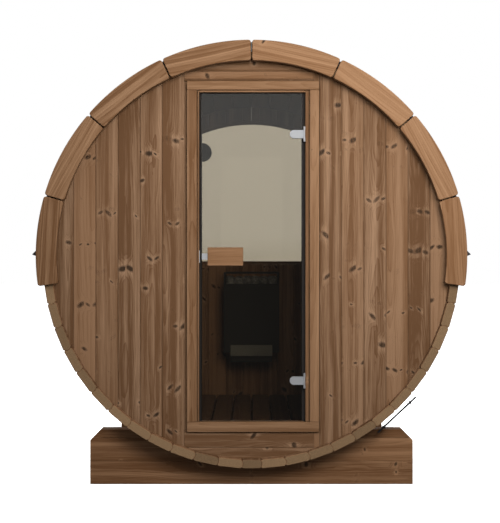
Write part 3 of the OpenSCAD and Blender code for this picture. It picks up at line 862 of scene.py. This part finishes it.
head_lo, head_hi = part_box("door_head")
lining_z = DOOR_TOP + LINING_T / 2 + PLAY
frame_planks("door_head", [
    ((head_lo.x, JAMB_Y, lining_z), (head_hi.x, WALL_BACK, head_hi.z), 0),
    ((DOOR_LEFT + PLAY, FACE_Y, DOOR_TOP), (DOOR_RIGHT - PLAY, WALL_BACK, lining_z), 0),
], [((STOP_LEFT + PLAY, STOP_Y, head_lo.z), (STOP_RIGHT - PLAY, WALL_BACK, DOOR_TOP), 0)])
sill_lo, sill_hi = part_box("door_sill")
lining_z = DOOR_BOTTOM - LINING_T / 2 - PLAY
frame_planks("door_sill", [
    ((sill_lo.x, JAMB_Y, sill_lo.z), (sill_hi.x, WALL_BACK, lining_z), 0),
    ((DOOR_LEFT + PLAY, JAMB_Y, lining_z), (DOOR_RIGHT - PLAY, WALL_BACK, DOOR_BOTTOM), 0),
])
frame_planks("door_casing", [(lo, hi, longest(lo, hi)) for lo, hi in islands("door_casing")])

for node in ("door_handle_outside", "door_handle_inside"):
    made = Boards()
    plank(made, *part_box(node), 0, 0.003)
    made.piece(node + "_block", "door", "handle_wood", [handle_wood, trim_ends], [node])


# ---- Floor ------------------------------------------------------------------------------------

for node, along in (("floor_slats", 1), ("floor_joists", 0)):
    made = Boards()
    for lo, hi in islands(node):
        if node == "floor_slats":
            plank(made, lo, hi, along, 0.004)
            continue
        xs = [lo[0] + (hi[0] - lo[0]) * i / 24 for i in range(25)]
        curve = [(x, AXIS - on_circle(INNER_R - 0.0007, x)) for x in xs]
        outline = [(x, max(z, lo[2])) for x, z in curve] + [(hi[0], hi[2]), (lo[0], hi[2])]
        plate(made, Place((0, 0, 0), X, Z), outline, -hi[1], -lo[1], bevel=0.002)
    made.piece(node + "_planks", "sauna", "floor_wood", [floor_wood, wall_ends], [node])


# ---- Roof -------------------------------------------------------------------------------------

ROOF_IN = SEAT_R + 0.0015 + PLAY
ROOF_OUT = ROOF_IN + 0.010
DECK_R = ROOF_OUT - 0.0055
KERB_R = TRIM_R + TRIM_W - 0.004
KERB_T = 0.012
RIDGE_TURN = 0.0002               # where each half of the roof starts beside the ridge
ROOF_TURN = math.radians(89.6)
SHINGLE_SHOW = 0.142
SHINGLE_LAP = 0.030
SHINGLE_TAB = 0.333
SHINGLE_SLIT = 0.003
SHINGLE_LEAST = 0.02              # one narrower (m) or lower (radians) than this is left out
CAP_HALF = 0.11
CAP_GAP = 0.001


def ring_at(side, turn, r_in, r_out, y0, y1):
    """Four corners of a cut through the roof, at a turn from straight up."""
    radial = np.array([side * math.sin(turn), 0, math.cos(turn)])
    corners = ((r_in, y0), (r_out, y0), (r_out, y1), (r_in, y1))
    return [radial * r + np.array([0, y, AXIS]) for r, y in corners]


def felt_loft(boards, rings):
    boards.loft(Place((0, 0, 0), X, Y), rings, end_grain=False, pith=(0.0, 0.01))


def arc_slab(boards, side, turn0, turn1, r_in, r_out, y0, y1, steps=4, lift=0.0):
    """A slab bent round the axis. Its outer face rises by lift towards turn1."""
    rings = []
    for i in range(steps + 1):
        turn = turn0 + (turn1 - turn0) * i / steps
        rise = lift * i / steps
        rings.append(ring_at(side, turn, r_in + rise * 0.6, r_out + rise, y0, y1))
    felt_loft(boards, rings)


def kerb(boards, side, y0, y1):
    """The roofing's raised edge behind the curved trims, concentric with them."""
    rings = []
    for i in range(41):
        turn = RIDGE_TURN + (ROOF_TURN - RIDGE_TURN) * i / 40
        out = TRIM_LIFT * math.cos(turn) + on_circle(KERB_R, TRIM_LIFT * math.sin(turn))
        rings.append(ring_at(side, turn, ROOF_IN, out, y0, y1))
    felt_loft(boards, rings)


def drip_edge(boards, side, lo, hi):
    """The strip that leads off from the roofing's lower edge."""
    outer = side * (hi.x if side > 0 else lo.x)
    inner = ROOF_IN + 0.002
    section = (
        (inner, 0.072), (outer - 0.004, 0.030), (outer, 0.026), (outer - 0.002, 0.0235), (inner, 0.007),
    )
    felt_loft(boards, [[(side * x, y, AXIS + z) for x, z in section] for y in (lo.y, hi.y)])


def shingle_row(boards, side, lo, hi, row):
    """One row of shingles, numbered from the lowest. Every second row is set off by half a tab."""
    low = ROOF_TURN - row * SHINGLE_SHOW / ROOF_OUT
    high = max(low - (SHINGLE_SHOW + SHINGLE_LAP) / ROOF_OUT, RIDGE_TURN)
    if low - high < SHINGLE_LEAST:
        return
    start = lo.y + (SHINGLE_TAB / 2 if row % 2 else SHINGLE_TAB)
    cuts = [lo.y] + [start + SHINGLE_TAB * i for i in range(7)] + [hi.y]
    cuts = [c for c in cuts if c <= hi.y]
    for y0, y1 in zip(cuts, cuts[1:]):
        if y1 - y0 < SHINGLE_LEAST:
            continue
        y0 += SHINGLE_SLIT if y0 > lo.y else 0
        y1 -= SHINGLE_SLIT if y1 < hi.y else 0
        slack = rng.uniform(-0.002, 0.002) / ROOF_OUT
        foot = DECK_R + 0.0008
        lift = ROOF_OUT - 0.0005 - rng.uniform(0, 0.0004) - DECK_R - 0.0008
        turn1 = min(low + slack, ROOF_TURN)
        arc_slab(boards, side, high, turn1, DECK_R - 0.001, foot, y0, y1, lift=lift)


def roof(node, side):
    made = Boards()
    lo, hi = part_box(node)
    kerb(made, side, lo.y, lo.y + KERB_T)
    kerb(made, side, hi.y - KERB_T, hi.y)
    arc_slab(made, side, RIDGE_TURN, ROOF_TURN, ROOF_IN, DECK_R, lo.y, hi.y, steps=48)
    drip_edge(made, side, lo, hi)
    for row in range(int(ROOF_TURN * ROOF_OUT / SHINGLE_SHOW) + 1):
        shingle_row(made, side, lo, hi, row)
    cap_in, cap_out, cap_turn = ROOF_OUT - 0.003, ROOF_OUT - 0.0001, CAP_HALF / ROOF_OUT
    y = lo.y
    while y < hi.y - 0.01:
        end = min(y + SHINGLE_SHOW, hi.y)
        arc_slab(made, side, RIDGE_TURN, cap_turn, cap_in, cap_out, y + CAP_GAP, end - CAP_GAP)
        y = end
    return made


for node, side in (("roof_left", -1), ("roof_right", 1)):
    roof(node, side).piece(node + "_shingles", "sauna", "roof_felt", [felt], [node])


# ---- Heater stones ----------------------------------------------------------------------------

stone_rng = random.Random(11)


def spread(lo, hi, count):
    """Evenly spaced places from lo to hi."""
    return [lo + (hi - lo) * i / (count - 1) for i in range(count)]


def add_stone(bm, x, y, z, lo, hi):
    """A lumpy stone about a place, kept inside the box from lo to hi."""
    r = stone_rng.uniform(0.025, 0.034)
    x += stone_rng.uniform(-0.009, 0.009)
    y += stone_rng.uniform(-0.008, 0.008)
    squash = [stone_rng.uniform(0.75, 1.12) for _ in range(3)]
    turn = Matrix.Rotation(stone_rng.uniform(0, 6.28), 4, "Z")
    seed = Vector([stone_rng.uniform(0, 50) for _ in range(3)])
    for v in bmesh.ops.create_icosphere(bm, subdivisions=2, radius=1.0)["verts"]:
        lump = 1 + 0.30 * noise.noise(v.co * 1.3 + seed)
        co = Vector([c * s for c, s in zip(v.co, squash)]) * lump * r
        co = turn @ co + Vector((x, y, z + stone_rng.uniform(-0.0005, 0.0005)))
        v.co = Vector([min(max(c, low), high) for c, low, high in zip(co, lo, hi)])


def stones():
    lo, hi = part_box("heater_stones")
    bm = bmesh.new()
    for z in spread(lo.z + 0.022, hi.z - 0.028, 3):
        for x in spread(lo.x + 0.030, hi.x - 0.030, 6):
            for y in spread(lo.y + 0.026, hi.y - 0.026, 5):
                add_stone(bm, x, y, z, lo, hi)
    mesh = bpy.data.meshes.new("heater_stones_pile")
    bm.to_mesh(mesh)
    bm.free()
    mesh.materials.append(stone)
    mesh.shade_smooth()
    return show(bpy.data.objects.new("heater_stones_pile", mesh), "sauna", ["heater_stones"])


stones()


# ---- CAD pieces that stay, with finishes and eased edges --------------------------------------

FINISHES = {
    "door_glass": (tinted_glass, 0.0008), "rear_window": (tinted_glass, 0.0),
    "hinge_clamps": (steel, 0.0008), "hinge_plates": (steel, 0.0004), "latch_plate": (steel, 0.0010),
    "strike_plate": (steel, 0.0005), "vent_valve": (black_plastic, 0.003),
    "heater_body": (black_steel, 0.0008), "heater_panel": (grey_steel, 0.0015),
    "heater_guard": (black_steel, 0.0), "steel_bands": (band_steel, 0.0003),
    "tension_rods": (rod_steel, 0.0004), "window_beads": (frame_wood, 0.0015),
}
for node, (material, ease) in FINISHES.items():
    obj = nodes[node]
    for i in range(len(obj.material_slots)):
        obj.material_slots[i].link = "OBJECT"
        obj.material_slots[i].material = material
    if ease:
        bevel = obj.modifiers.new("ease", "BEVEL")
        bevel.width = ease
        bevel.segments = 2
        bevel.limit_method = "ANGLE"
        bevel.angle_limit = math.radians(40)
        bevel.use_clamp_overlap = True


# ---- Studio -----------------------------------------------------------------------------------

def emission(name, colour, strength):
    s = Shader(name)
    s.tree.nodes.remove(s.bsdf)
    lamp = s.node("ShaderNodeEmission")
    lamp.inputs["Color"].default_value = (*colour, 1)
    lamp.inputs["Strength"].default_value = strength
    s.tree.links.new(lamp.outputs[0], s.tree.nodes["Material Output"].inputs["Surface"])
    return s.material


def camera_only(name, mesh):
    """A new object that the camera sees and that leaves the light alone."""
    obj = bpy.data.objects.new(name, mesh)
    bpy.context.scene.collection.objects.link(obj)
    for key in ("visible_diffuse", "visible_glossy", "visible_shadow"):
        setattr(obj, key, False)
    return obj


# A white cyclorama behind everything, seen by the camera and adding no light of its own
BACKDROP_R = 45.0
FLOOR_HALF = 60.0
dome_mesh = bpy.data.meshes.new("backdrop")
bm = bmesh.new()
bmesh.ops.create_icosphere(bm, subdivisions=4, radius=BACKDROP_R)
bm.to_mesh(dome_mesh)
bm.free()
dome_mesh.materials.append(emission("backdrop_white", (1, 1, 1), 1.0))
dome = camera_only("backdrop", dome_mesh)

floor_mesh = bpy.data.meshes.new("studio_floor")
corners = [(-1, -1, 0), (1, -1, 0), (1, 1, 0), (-1, 1, 0)]
floor_mesh.from_pydata([Vector(c) * FLOOR_HALF for c in corners], [], [(0, 1, 2, 3)])
floor_shade = Shader("floor_white", 0.9, colour=(0.9, 0.9, 0.9))
floor_shade.bsdf.inputs["Emission Color"].default_value = (1, 1, 1, 1)
floor_shade.bsdf.inputs["Emission Strength"].default_value = 0.80
floor_mesh.materials.append(floor_shade.material)
floor = camera_only("studio_floor", floor_mesh)

world = bpy.data.worlds.new("studio")
bpy.context.scene.world = world
world.use_nodes = True
tree = world.node_tree
direction = tree.nodes.new("ShaderNodeTexCoord").outputs["Generated"]
split = tree.nodes.new("ShaderNodeSeparateXYZ")
tree.links.new(direction, split.inputs[0])
ramp = tree.nodes.new("ShaderNodeValToRGB")
tree.links.new(split.outputs["Z"], ramp.inputs[0])
# Brightness by height of the direction: dark below, brightest just over the horizon, soft above
SKY = ((0.0, 0.06), (0.02, 0.52), (0.12, 0.72), (0.35, 0.42), (1.0, 0.36))
stops = ramp.color_ramp.elements
for i, (height, level) in enumerate(SKY):
    stop = stops[i] if i < 2 else stops.new(height)
    stop.position = height
    stop.color = (level, level, level, 1)
tree.links.new(ramp.outputs[0], tree.nodes["Background"].inputs["Color"])
tree.nodes["Background"].inputs["Strength"].default_value = 1.6


def area_light(name, place, target, size, power, spread=180):
    data = bpy.data.lights.new(name, "AREA")
    data.size, data.energy, data.spread = size, power, math.radians(spread)
    obj = bpy.data.objects.new(name, data)
    obj.location = place
    obj.rotation_euler = (Vector(target) - Vector(place)).to_track_quat("-Z", "Y").to_euler()
    bpy.context.scene.collection.objects.link(obj)
    obj.visible_camera = False
    obj.visible_glossy = False


area_light("key", (0.8, -4.2, 2.2), (0.35, -0.9, 1.95), 1.6, 104.0, 110)
area_light("top", (0.6, -0.6, 5.0), (0, 0, 1.1), 3.0, 120.0)
for x in (-4.6, 4.6):
    area_light("side", (x, 0.4, 2.8), (0, 0, 1.0), 2.5, 170.0)
area_light("back", (-0.8, 5.4, 2.6), (0, 0.9, 1.0), 1.6, 130.0, 110)

camera_data = bpy.data.cameras.new("camera")
camera_data.lens = 78.8
camera_data.sensor_width = 36.0
camera_data.shift_x = -0.00287
camera_data.shift_y = -0.00344
camera_data.clip_end = 1000.0
camera = bpy.data.objects.new("camera", camera_data)
camera.location = (0, -6.358, AXIS)
camera.rotation_euler = (math.pi / 2, 0, 0)
bpy.context.scene.collection.objects.link(camera)
bpy.context.scene.camera = camera
bpy.context.scene.view_settings.view_transform = "Standard"
